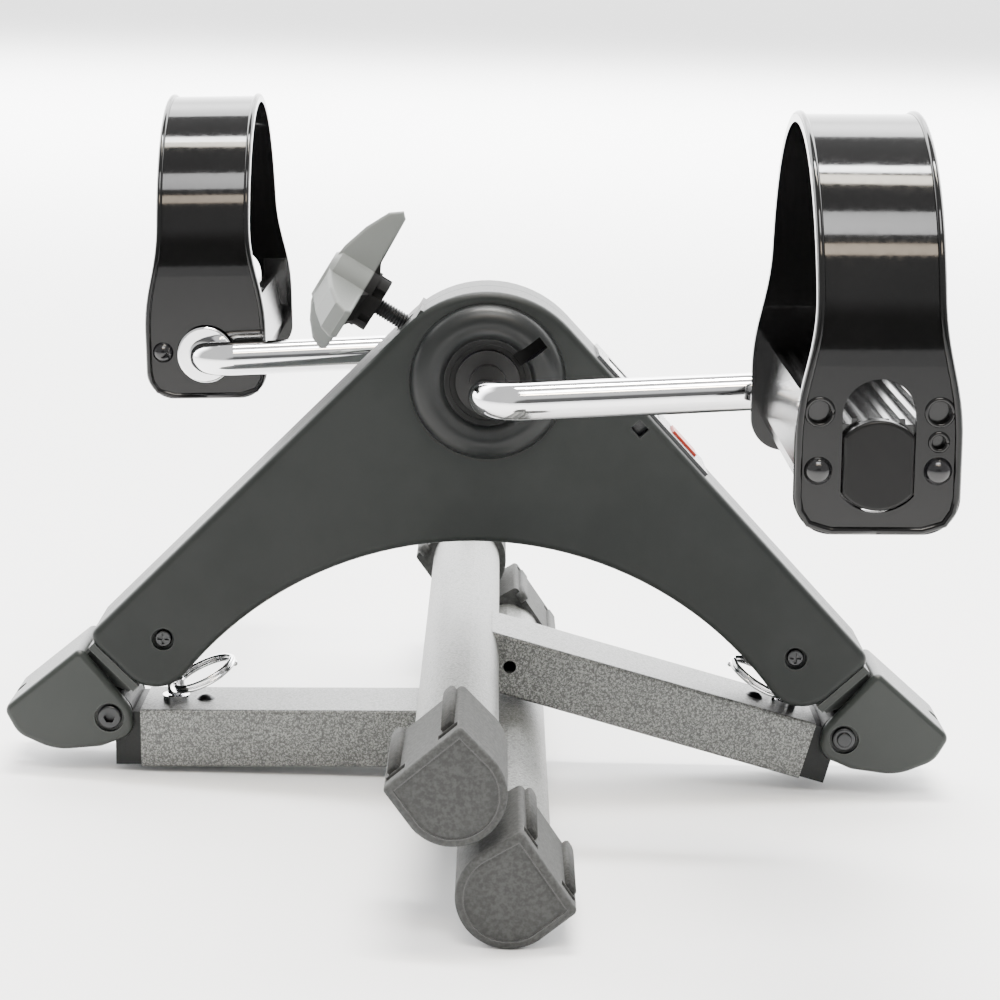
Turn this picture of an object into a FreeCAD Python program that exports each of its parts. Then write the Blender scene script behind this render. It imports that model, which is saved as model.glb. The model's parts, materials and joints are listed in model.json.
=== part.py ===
"""Folding pedal exerciser: housing, crank with two strapped pedals, tension knob and two folding legs.

Frame: X runs from the left leg hinge to the right one, Y from the front side to the rear side,
Z is up. The model is worked out about the crank axis and lifted by CRANK_HEIGHT at the end, so
that its origin lies on the surface it stands on, below the crank axis. Millimetres.
"""
import FreeCAD, Part
import os
from math import sin, cos, tan, radians, sqrt

V = FreeCAD.Vector

# ---- driving dimensions ------------------------------------------------------------------
HOUSING_WIDTH = 35.0
HOUSING_WALL = 2.5
HOUSING_EDGE_R = 2.5        # rounding round both side faces
SLOPE = 46.0                # of the two arms below the horizontal
CROWN_R = 36.5              # arc over the crank
CROWN_DROP = 7.0            # centre of that arc below the crank axis
ARM_END = 156.6             # along the slope, from the crank axis
ARM_END_R = 13.0            # rounded heel of each arm
ARM_CORNER_R = 4.0
ARCH_R = 124.0              # underside
ARCH_DROP = 178.0
RELIEF_TOP = 10.5           # open underside of each arm's end, where a pull pin's head stands
RELIEF_HALF = 12.4

SCREW_ALONG, SCREW_OUT = 138.7, 13.3    # housing screws, along an arm and out from the crank axis
SCREW_HOLE_R = 3.8
SCREW_HEAD_R = 2.9
SCREW_SUNK = 0.8            # head below the housing's face
BOSS_R = 5.0
BOSS_TIP = 12.8             # housing bosses reach in to this distance from the middle plane

HUB_R = 25.6                # round cover on each side
HUB_INNER_R = 14.5          # its bulged ring ends here
HUB_HEIGHT = 6.0
HUB_SLOT = (12.0, 22.8)
HUB_SLOT_ANGLE = 39.0       # slot above the horizontal, to the right
BUSH_R = 9.0
BUSH_FLANGE_R = 10.6

ROD_R = 6.0                 # crank rod
CRANK_ARM = 102.6
CRANK_ANGLE = 4.4
ARM_PLANE = 60.0            # distance of each crank arm from the middle plane
ROD_BEND_R = 12.0
RUN_FIT = 0.05              # radial clearance of every turning fit
DRUM_R, DRUM_HALF = 14.0, 7.5
FLANGE_R, FLANGE_T = 10.25, 1.8
CLIP_R = 7.4

PEDAL_INNER = 75.0          # strap faces, measured from the middle plane
PEDAL_OUTER = 197.0
PEDAL_LIFT = 2.2            # middle of the pedal's mouldings above its axle
FRONT_TILT, REAR_TILT = 1.5, 2.5    # rest turn of each pedal, top edge to the left
STRAP_T = 2.2
STRAP_DROP = 18.5           # bottom of the strap below the pedal's middle
STRAP_SPRING = 26.0         # height above the middle where the strap's arch begins
STRAP_FOOT, STRAP_WAIST, STRAP_CROWN = 21.8, 16.7, 16.9     # half widths, from the bottom up
STUD = (15.6, -1.5)         # studs from the pedal's middle: across and up
STUD_R = 3.9
SPARE = (15.6, 14.0)        # spare strap holes, in the outer face only
SPARE_R = 3.1
WINDOW_HALF = 9.6           # strap's opening round the axle cap
PLATFORM_TOP, PLATFORM_BOTTOM = 12.0, -12.0
PLATFORM_HALF = 15.5        # half width of the tread
PLATFORM_BULGE = 18.4       # and of the widest part, below it
RIDGES, RIDGE_WIDTH, RIDGE_HEIGHT = 8, 1.8, 1.5
EAR = (11.0, 20.0)          # upright ears at the platform's outer end, behind the spare holes
EAR_TOP = 19.0

PIVOT_X, PIVOT_Z = 123.7, -118.07
LEFT_LEG, RIGHT_LEG = 134.0, 132.0      # hinge to crossbar, along the stem
LEG_DROP = 8.3              # stem centreline below the hinge
LEFT_RISE, RIGHT_RISE = 1.6, 14.6
STEM_H, STEM_W, TUBE_WALL = 20.0, 30.0, 1.5
STEM_START = 10.0
RIVET_ALONG = 30.5
BAR_R = 12.7
BAR_END = 164.0
CAP_END = 168.0
CAP_LENGTH = 44.0
CAP_R = 15.3
CAP_FLAT = 14.0             # flat tread of a foot cap, from the crossbar's axis
CAP_FLAT_HALF = 14.4        # half width of the tread
CAP_TILT = 34.0             # tread against the stem's direction

BRACKET_WIDTH = 36.0
BRACKET_GAP = 31.0
BRACKET_COVER = 2.5
BRACKET_EDGE_R = 2.0
BRACKET_SHAPE = [           # outline from the hinge: out, up, corner radius
    (10.0, 23.8, 2.6), (35.8, 1.8, 3.4), (31.0, -7.0, 9.0), (18.5, -12.4, 20.0),
    (3.0, -10.6, 8.0), (-8.4, -6.0, 6.0), (-7.2, 3.6, 8.0)]
HINGE_R = 2.5
HINGE_HEAD_R = 4.0
HINGE_SEAT_R, HINGE_SEAT_DEPTH = 5.0, 1.6
HINGE_SOCKET = 3.4          # across its flats

PIN_ALONG = 20.5            # pull pin, from the hinge along the stem
PIN_R = 2.5
RING_R, RING_WIRE = 10.8, 0.8
LEFT_RING_LIFT, RIGHT_RING_LIFT = 24.0, 13.0    # rest angle of each pull ring above its stem
RING_LEAN = 7.0             # and across it

KNOB_ANGLE = 30.0           # tension screw's rise above the horizontal, leaning left
SCREW_R = 3.0
KNOB_R = 31.0
KNOB_HUB_R = 9.4
KNOB_HUB = (43.0, 50.0)     # lugged hub, along the screw from the crank axis
KNOB_CLOCK = 15.0           # turn of the first wing away from the middle plane
NUT_SEAT = (24.0, 29.0)     # tension nut, from the crank axis along the screw
NUT_FLATS = 10.0

DISPLAY = (19.5, 71.5)      # display opening along the right arm
DISPLAY_HALF = 12.5
BUTTON = (55.0, 67.0)
LENS = (24.0, 49.0)
CLIP_WINDOW = (43.0, 47.5)

# ---- derived -----------------------------------------------------------------------------
HALF = HOUSING_WIDTH / 2
ARM_OUTER = CROWN_R - CROWN_DROP * cos(radians(SLOPE))     # arm's top face from the crank axis
BAR_Z = PIVOT_Z + LEFT_LEG * sin(radians(LEFT_RISE)) - LEG_DROP * cos(radians(LEFT_RISE))
CRANK_HEIGHT = CAP_R - BAR_Z
AXLE_X = CRANK_ARM * cos(radians(CRANK_ANGLE))
AXLE_Z = CRANK_ARM * sin(radians(CRANK_ANGLE))
LEFT, RIGHT = -1, 1
FRONT, REAR = -1, 1
Y_AXIS = V(0, 1, 0)
parts = {}


# ---- helpers -----------------------------------------------------------------------------
def on_slope(side, along, out, y=0.0):
    """Point on one arm: along the slope from the crank axis, and out from that axis."""
    s, c = sin(radians(SLOPE)), cos(radians(SLOPE))
    return V(side * (along * c + out * s), y, out * c - along * s)


def prism(points, y0, y1):
    """Straight-sided outline in X and Z, drawn from y0 to y1."""
    at = [V(p[0], y0, p[1]) for p in points]
    return Part.Face(Part.makePolygon(at + [at[0]])).extrude(V(0, y1 - y0, 0))


def slope_box(side, along, out, y):
    """Box in one arm's own directions; along, out and y are (low, high)."""
    corners = [on_slope(side, along[i], out[j]) for i, j in ((0, 0), (1, 0), (1, 1), (0, 1))]
    return prism([(p.x, p.z) for p in corners], *y)


def box(x, y, z):
    return Part.makeBox(x[1] - x[0], y[1] - y[0], z[1] - z[0], V(x[0], y[0], z[0]))


def rod(a, b, r):
    """Cylinder of radius r from point a to point b."""
    return Part.makeCylinder(r, (b - a).Length, a, b - a)


def rod_y(x, z, r, y0, y1):
    return rod(V(x, y0, z), V(x, y1, z), r)


def arc(a, b, c):
    return Part.Arc(a, b, c).toShape()


def line(a, b):
    return Part.LineSegment(a, b).toShape()


def ring_of(profile, about=Y_AXIS):
    """Solid of revolution: profile points are (radius, place along Y)."""
    at = [V(r, y, 0) for r, y in profile]
    return Part.Face(Part.makePolygon(at + [at[0]])).revolve(V(0, 0, 0), about, 360)


def fuse(*shapes):
    return shapes[0].multiFuse(list(shapes[1:])).removeSplitter()


def mirrored(shape, normal):
    return shape.mirror(V(0, 0, 0), normal)


def rounded_outline(corners):
    """Flat face in X and Z from (x, z, radius) corners, each rounded by its radius."""
    edges, ends = [], []
    count = len(corners)
    for k in range(count):
        before, here, after = (V(corners[j % count][0], 0, corners[j % count][1]) for j in (k - 1, k, k + 1))
        radius = corners[k][2]
        back, ahead = (before - here).normalize(), (after - here).normalize()
        half = back.getAngle(ahead) / 2
        centre = here + (back + ahead).normalize() * (radius / sin(half))
        middle = centre + (here - centre).normalize() * radius
        start, stop = here + back * (radius / tan(half)), here + ahead * (radius / tan(half))
        edges.append(arc(start, middle, stop))
        ends.append((start, stop))
    edges += [line(ends[k - 1][1], ends[k][0]) for k in range(count)]
    return Part.Face(Part.Wire(Part.__sortEdges__(edges)))


def round_edges(shape, radius, wanted):
    """Round the edges that wanted(edge) picks."""
    return shape.makeFillet(radius, [e for e in shape.Edges if wanted(e)])


def lies_at(y):
    """Picks edges that lie wholly in the plane Y = y."""
    return lambda e: abs(e.BoundBox.YMin - y) < 1e-3 and abs(e.BoundBox.YMax - y) < 1e-3


def lies_level(e):
    """Picks edges that lie wholly in one level plane."""
    return e.BoundBox.ZMax - e.BoundBox.ZMin < 1e-3


# ---- housing -----------------------------------------------------------------------------
def housing_face():
    """Side outline of the housing: a crown, two straight arms and an arch underneath."""
    end_r, corner_r = ARM_END_R, ARM_CORNER_R
    c, s = cos(radians(SLOPE)), sin(radians(SLOPE))
    arch_along, arch_out = ARCH_DROP * s, -ARCH_DROP * c
    end_along = ARM_END - end_r
    reach = sqrt((ARCH_R + end_r) ** 2 - (end_along - arch_along) ** 2)
    end_out = arch_out + reach
    share = ARCH_R / (ARCH_R + end_r)
    edges = []
    crown = {}
    toe = {}
    for side in (LEFT, RIGHT):
        crown[side] = on_slope(side, CROWN_DROP * s, ARM_OUTER)
        toe[side] = on_slope(side, arch_along + (end_along - arch_along) * share,
                             arch_out + reach * share)
        far = on_slope(side, ARM_END - corner_r, ARM_OUTER)
        turn = on_slope(side, ARM_END - corner_r * (1 - cos(radians(45))),
                        ARM_OUTER - corner_r * (1 - sin(radians(45))))
        face = on_slope(side, ARM_END, ARM_OUTER - corner_r)
        heel = on_slope(side, ARM_END, end_out)
        q = end_r * cos(radians(45))
        bend = on_slope(side, end_along + q, end_out - q)
        edges += [line(crown[side], far), arc(far, turn, face), line(face, heel),
                  arc(heel, bend, toe[side])]
    edges.append(arc(crown[LEFT], V(0, 0, CROWN_R - CROWN_DROP), crown[RIGHT]))
    edges.append(arc(toe[LEFT], V(0, 0, ARCH_R - ARCH_DROP), toe[RIGHT]))
    return Part.Face(Part.Wire(Part.__sortEdges__(edges)))


def screw_line(distance):
    """Point on the tension screw's axis."""
    return V(-distance * cos(radians(KNOB_ANGLE)), 0, distance * sin(radians(KNOB_ANGLE)))


def turned_to_screw(shape):
    """Turn a shape made about +Z so that it lies along the tension screw."""
    shape.rotate(V(0, 0, 0), Y_AXIS, KNOB_ANGLE - 90)
    return shape


def hexagon(flats, z0, z1):
    r = flats / sqrt(3)
    at = [V(r * cos(radians(60 * k)), r * sin(radians(60 * k)), z0) for k in range(7)]
    return Part.Face(Part.makePolygon(at)).extrude(V(0, 0, z1 - z0))


def housing_shells():
    face = housing_face()
    solid = face.copy()
    solid.translate(V(0, -HALF, 0))
    solid = solid.extrude(V(0, HALF, 0))
    solid = round_edges(solid, HOUSING_EDGE_R, lies_at(-HALF))
    room = face.makeOffset2D(-HOUSING_WALL)
    room.translate(V(0, -HALF + HOUSING_WALL, 0))
    room = room.extrude(V(0, HALF, 0))
    shell = solid.cut(room)

    # seats for the screws and for the tension nut
    seat = Part.makeBox(17, 16, NUT_SEAT[1] + 2 - NUT_SEAT[0] + 0.3, V(-8.5, -16, NUT_SEAT[0] - 0.3))
    shell = shell.fuse(turned_to_screw(seat))
    for side in (LEFT, RIGHT):
        p = on_slope(side, SCREW_ALONG, SCREW_OUT)
        shell = shell.fuse(rod_y(p.x, p.z, BOSS_R, -HALF + 1, -BOSS_TIP))
    cuts = [turned_to_screw(hexagon(NUT_FLATS + 0.1, *NUT_SEAT)),
            rod(screw_line(15), screw_line(45), 4.0),
            rod_y(0, 0, BUSH_R, -HALF - 1, 1),
            slope_box(RIGHT, DISPLAY, (21.0, 45.0), (-DISPLAY_HALF, 1))]
    for side in (LEFT, RIGHT):
        cuts.append(slope_box(side, (150, 160), (RELIEF_TOP, 28.2), (-15.0, 1)))
        cuts.append(slope_box(side, (124, 160), (-8, RELIEF_TOP), (-RELIEF_HALF, 1)))
    # clip window beside the display
    cuts.append(slope_box(RIGHT, CLIP_WINDOW, (24.5, 28.5), (-HALF - 1, -14)))
    shell = shell.cut(Part.makeCompound(cuts))

    front, rear = shell, mirrored(shell, Y_AXIS)
    for side in (LEFT, RIGHT):
        p = on_slope(side, SCREW_ALONG, SCREW_OUT)
        front = front.cut(rod_y(p.x, p.z, SCREW_HOLE_R, -HALF - 1, -HALF + 2.2))
        front = front.cut(rod_y(p.x, p.z, 1.6, -HALF - 1, 0))
        rear = rear.cut(rod_y(p.x, p.z, 1.5, 0, HALF - 1))
    parts["front_housing_shell"] = front.removeSplitter()
    parts["rear_housing_shell"] = rear.removeSplitter()


def housing_screws():
    top = -HALF + SCREW_SUNK
    screws = []
    for side in (LEFT, RIGHT):
        p = on_slope(side, SCREW_ALONG, SCREW_OUT)
        head = rod_y(p.x, p.z, SCREW_HEAD_R, top, -HALF + 2.2)
        head = round_edges(head, 0.7, lies_at(top))
        shank = rod_y(p.x, p.z, 1.48, -HALF + 2.0, HALF - 2.5)
        cross = [box((p.x - a, p.x + a), (-HALF, top + 1.0), (p.z - b, p.z + b))
                 for a, b in ((1.9, 0.45), (0.45, 1.9))]
        screws.append(head.fuse(shank).cut(Part.makeCompound(cross)))
    parts["housing_screws"] = Part.makeCompound(screws)


def hub_parts():
    """Round cover on each side, the plain bush inside it, and what turns between the bushes."""
    middle = (HUB_R + HUB_INNER_R) / 2
    bulge = [V(HUB_R, 0.8, 0), V(middle, HUB_HEIGHT, 0), V(HUB_INNER_R, 2.6, 0)]
    steps = [bulge[2], V(HUB_INNER_R - 0.2, 1.9, 0), V(12.6, 1.7, 0), V(12.4, 1.2, 0),
             V(BUSH_FLANGE_R + 0.2, 1.0, 0), V(BUSH_FLANGE_R + 0.2, 0, 0), V(HUB_R, 0, 0), bulge[0]]
    bead = [arc(*bulge)] + [line(a, b) for a, b in zip(steps, steps[1:])]
    cover = Part.Face(Part.Wire(bead)).revolve(V(0, 0, 0), Y_AXIS, 360)
    slot = box(HUB_SLOT, (0.9, 9.0), (-2.2, 2.2))
    slot.rotate(V(0, 0, 0), Y_AXIS, -HUB_SLOT_ANGLE)
    rear = cover.cut(slot)
    rear.translate(V(0, HALF, 0))
    parts["rear_hub_cover"] = rear
    parts["front_hub_cover"] = mirrored(rear, Y_AXIS)

    flange = HALF + 2.2
    bush = ring_of([(ROD_R + RUN_FIT, 8.5), (BUSH_R - 0.04, 8.5), (BUSH_R - 0.04, HALF),
                    (BUSH_FLANGE_R, HALF), (BUSH_FLANGE_R, flange), (ROD_R + RUN_FIT, flange)])
    parts["rear_crank_bush"] = bush
    parts["front_crank_bush"] = mirrored(bush, Y_AXIS)


def hinge_bracket(side):
    """Wedge-shaped leg bracket: two cheeks under a sloping cover, on a neck held by the housing."""
    px, pz = side * PIVOT_X, PIVOT_Z

    def at(out, up, y=0.0):
        return V(px + side * out, y, pz + up)

    inner, outer = BRACKET_GAP / 2, BRACKET_WIDTH / 2
    face = rounded_outline([(px + side * a, pz + b, r) for a, b, r in BRACKET_SHAPE])
    face.translate(V(0, -outer, 0))
    wedge = face.extrude(V(0, BRACKET_WIDTH, 0))
    wedge = round_edges(wedge, BRACKET_EDGE_R, lambda e: lies_at(-outer)(e) or lies_at(outer)(e))

    # the leg's room: everything between the cheeks, a cover's thickness below the upper edge
    (x0, z0, _), (x1, z1, _) = BRACKET_SHAPE[:2]
    edge = V(x1 - x0, 0, z1 - z0).normalize()
    under = V(edge.z, 0, -edge.x) * BRACKET_COVER
    high = V(x0, 0, z0) + under - edge * 15
    low = V(x1, 0, z1) + under + edge * 15
    room = prism([(px + side * a, pz + b) for a, b in
                  ((high.x, high.z), (low.x, low.z), (30, -30), (-25, -30), (-25, 14))], -inner, inner)
    bracket = wedge.cut(room)

    # neck into the housing, with a shadow groove where it meets the cheeks
    neck_low = RELIEF_TOP + 0.2
    collar = slope_box(side, (ARM_END + 0.1, 159.4), (7.4, 28.4), (-15.8, 15.8))
    insert = slope_box(side, (150.2, 157.0), (neck_low, 28.0), (-14.8, 14.8))
    tongue = slope_box(side, (130.0, 151.0), (neck_low, 20.6), (-BOSS_TIP + 0.2, BOSS_TIP - 0.2))
    web = slope_box(side, (159.0, 163.2), (8.0, 27.0), (-12.0, 12.0))
    bulkhead = slope_box(side, (162.6, 165.6), (16.5, 28.0), (-inner - 0.8, inner + 0.8))
    bracket = fuse(bracket, collar, insert, tongue, web, bulkhead)
    screw = on_slope(side, SCREW_ALONG, SCREW_OUT)
    # hole that the pull pin springs into with the leg out at 45 degrees
    lock_a = at((PIN_ALONG + 15) * cos(radians(45)), (15 - PIN_ALONG) * cos(radians(45)))
    lock_b = at((PIN_ALONG + 35) * cos(radians(45)), (35 - PIN_ALONG) * cos(radians(45)))
    cuts = [rod_y(screw.x, screw.z, 1.8, -20, 20),
            rod_y(px, pz, 9.2, -14.0, 14.0),
            rod_y(px, pz, HINGE_R + 0.02, -20, 20),
            rod_y(px, pz, HINGE_SEAT_R, -20, -outer + HINGE_SEAT_DEPTH),
            rod_y(px, pz, HINGE_SEAT_R, outer - HINGE_SEAT_DEPTH, 20),
            rod(lock_a, lock_b, 2.9)]
    return bracket.cut(Part.makeCompound(cuts))


def hinge_bolt(side):
    """Socket bolt and round nut; the left bolt goes in from the front, the right from the rear."""
    px, pz = side * PIVOT_X, PIVOT_Z
    seat = BRACKET_WIDTH / 2 - HINGE_SEAT_DEPTH
    head_end = seat + 1.8
    head = rod_y(px, pz, HINGE_HEAD_R, -head_end, -seat)
    head = round_edges(head, 0.8, lies_at(-head_end))
    socket = hexagon(HINGE_SOCKET, 0, 2.6)
    socket.rotate(V(0, 0, 0), V(1, 0, 0), 90)
    socket.translate(V(px, -head_end + 2.4, pz))
    tail = round_edges(rod_y(px, pz, HINGE_R, -seat, seat + 2.6), 0.6, lies_at(seat + 2.6))
    bolt = fuse(head, tail).cut(socket)
    nut = round_edges(rod_y(px, pz, HINGE_HEAD_R, seat, seat + 1.7), 0.8, lies_at(seat + 1.7))
    nut = nut.cut(rod_y(px, pz, HINGE_R + 0.02, 0, 20))
    if side == RIGHT:
        bolt, nut = mirrored(bolt, Y_AXIS), mirrored(nut, Y_AXIS)
    return bolt, nut


def hinge_parts():
    for side, name in ((LEFT, "left"), (RIGHT, "right")):
        parts[name + "_hinge_bracket"] = hinge_bracket(side)
        parts[name + "_hinge_bolt"], parts[name + "_hinge_nut"] = hinge_bolt(side)


# ---- display -----------------------------------------------------------------------------
def display_parts():
    lo, hi = DISPLAY
    half = DISPLAY_HALF
    top = ARM_OUTER + 1.2
    case = slope_box(RIGHT, (lo + 0.2, hi - 0.2), (21.5, top), (-half + 0.2, half - 0.2))
    lip = slope_box(RIGHT, (lo - 1.0, hi + 1.0), (ARM_OUTER, top), (-half - 1.0, half + 1.0))
    case = fuse(case, lip)
    case = case.cut(slope_box(RIGHT, (lo + 1.7, hi - 1.7), (20.0, top - 1.6), (-half + 1.7, half - 1.7)))
    case = case.cut(slope_box(RIGHT, LENS, (20.0, top + 1), (-9.0, 9.0)))
    case = case.cut(slope_box(RIGHT, BUTTON, (20.0, top + 1), (-6.0, 6.0)))
    parts["display_case"] = case
    parts["display_lens"] = slope_box(RIGHT, (LENS[0] + 0.1, LENS[1] - 0.1), (top - 1.5, top - 0.3),
                                      (-8.9, 8.9))
    parts["lcd_panel"] = slope_box(RIGHT, (LENS[0] - 1, LENS[1] + 1), (top - 4.2, top - 1.7), (-9.8, 9.8))
    parts["circuit_board"] = slope_box(RIGHT, (lo + 2, hi - 2), (top - 5.8, top - 4.3),
                                       (-half + 2, half - 2))
    cell = on_slope(RIGHT, 36.0, top - 5.9)
    below = on_slope(RIGHT, 36.0, top - 9.1)
    parts["coin_cell"] = rod(below, cell, 9.5)
    button = slope_box(RIGHT, (BUTTON[0] + 0.4, BUTTON[1] - 0.4), (top - 2.9, top + 0.9), (-5.6, 5.6))
    foot = slope_box(RIGHT, (BUTTON[0] - 1.0, BUTTON[1] + 1.0), (top - 3.0, top - 1.9), (-7.0, 7.0))
    parts["mode_button"] = fuse(button, foot)
    parts["reed_sensor"] = box((-5.0, 5.0), (10.6, HALF - HOUSING_WALL), (-15.0, -10.5))


# ---- tension screw and brake -------------------------------------------------------------
def brake_parts():
    shoe = Part.makeBox(17.0, 14.0, 10.5, V(-8.5, -7.0, 10.0))
    shoe = turned_to_screw(shoe).cut(rod_y(0, 0, DRUM_R + 2.4, -10, 10))
    parts["brake_shoe"] = shoe
    pad = turned_to_screw(Part.makeBox(17.0, 13.0, 10.0, V(-8.5, -6.5, 8.0)))
    pad = pad.common(rod_y(0, 0, DRUM_R + 2.38, -10, 10)).cut(rod_y(0, 0, DRUM_R + 0.4, -10, 10))
    parts["brake_pad"] = pad
    nut = turned_to_screw(hexagon(NUT_FLATS, *NUT_SEAT))
    parts["tension_nut"] = nut.cut(rod(screw_line(10), screw_line(40), SCREW_R + RUN_FIT))


def knob_parts():
    """Three-winged knob on a long screw."""
    lo, hi = KNOB_HUB
    hub = Part.makeCylinder(KNOB_HUB_R, hi - lo, V(0, 0, lo))
    for k in range(6):
        notch = Part.makeCylinder(1.7, hi - lo, V(KNOB_HUB_R, 0, lo - 1.5))
        notch.rotate(V(0, 0, 0), V(0, 0, 1), 60 * k)
        hub = hub.cut(notch)
    outline = [(0, 47.0), (8.0, 47.5), (12.0, 49.5), (29.0, 50.0), (KNOB_R, 52.0), (28.0, 56.0),
               (20.0, 60.0), (11.0, 62.8), (0, 64.0)]
    at = [V(a, -5.5, b) for a, b in outline]
    wing = Part.Face(Part.makePolygon(at + [at[0]])).extrude(V(0, 11.0, 0))
    wing = round_edges(wing, 1.2, lambda e: e.BoundBox.XMin > 10 and abs(abs(e.CenterOfMass.y) - 5.5) < 0.01)
    crown = Part.makeCylinder(10.0, 15.0, V(0, 0, 47.0))
    crown = crown.fuse(Part.makeCone(10.0, 8.0, 2.0, V(0, 0, 62.0)))
    knob = [hub, crown]
    for k in range(3):
        turned = wing.copy()
        turned.rotate(V(0, 0, 0), V(0, 0, 1), 120 * k + KNOB_CLOCK)
        knob.append(turned)
    knob = fuse(*knob).cut(Part.makeCylinder(SCREW_R + 0.03, 53.1 - lo + 1, V(0, 0, lo - 1)))
    parts["tension_knob"] = turned_to_screw(knob)
    parts["tension_screw"] = rod(screw_line(20.6), screw_line(53.0), SCREW_R)


# ---- crank -------------------------------------------------------------------------------
def crank_parts():
    """One bent rod: an axle through the housing, two arms and two pedal axles."""
    r = ROD_BEND_R
    tip = PEDAL_OUTER - 7.0
    path = []
    # worked out along X with the arms level, then turned to the crank's angle
    for s in (FRONT, REAR):
        x, y = -s * CRANK_ARM, s * ARM_PLANE
        inner, outer = -s * r, x + s * r
        q = r * (1 - cos(radians(45)))
        path += [line(V(0, 0, 0), V(0, y - s * r, 0)),
                 arc(V(0, y - s * r, 0), V(-s * q, y - s * q, 0), V(inner, y, 0)),
                 line(V(inner, y, 0), V(outer, y, 0)),
                 arc(V(outer, y, 0), V(x + s * q, y + s * q, 0), V(x, y + s * r, 0)),
                 line(V(x, y + s * r, 0), V(x, s * tip, 0))]
    wire = Part.Wire(Part.__sortEdges__(path))
    start = wire.OrderedVertexes[0].Point
    circle = Part.Wire(Part.makeCircle(ROD_R, start, Y_AXIS))
    crank = wire.makePipeShell([circle], True, True)
    crank.rotate(V(0, 0, 0), Y_AXIS, -CRANK_ANGLE)
    parts["crank_rod"] = crank

    drum = ring_of([(ROD_R + 0.02, -DRUM_HALF), (DRUM_R, -DRUM_HALF), (DRUM_R, DRUM_HALF),
                    (ROD_R + 0.02, DRUM_HALF)])
    parts["friction_drum"] = drum
    parts["sensor_magnet"] = rod_y(11.8, 0, 1.6, DRUM_HALF, DRUM_HALF + 1.8)
    washer = ring_of([(ROD_R + 0.02, DRUM_HALF + 0.1), (8.5, DRUM_HALF + 0.1),
                      (8.5, DRUM_HALF + 0.7), (ROD_R + 0.02, DRUM_HALF + 0.7)])
    parts["thrust_washers"] = Part.makeCompound([washer, mirrored(washer, Y_AXIS)])
    flanges, clips = [], []
    for s in (FRONT, REAR):
        x, z = -s * AXLE_X, -s * AXLE_Z
        inner = ARM_PLANE + ROD_BEND_R
        flange = rod_y(x, z, FLANGE_R, s * inner, s * (inner + FLANGE_T))
        flange = round_edges(flange, 0.8, lies_at(s * inner))
        flanges.append(flange.cut(rod_y(x, z, ROD_R + 0.02, s * 60, s * 90)))
        clip_at = PEDAL_OUTER - STRAP_T - 7.2
        clip = rod_y(x, z, CLIP_R, s * clip_at, s * (clip_at + 1.0))
        clips.append(clip.cut(rod_y(x, z, ROD_R + 0.02, s * 150, s * 200)))
    parts["flange_washers"] = Part.makeCompound(flanges)
    parts["axle_clips"] = Part.makeCompound(clips)


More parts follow.
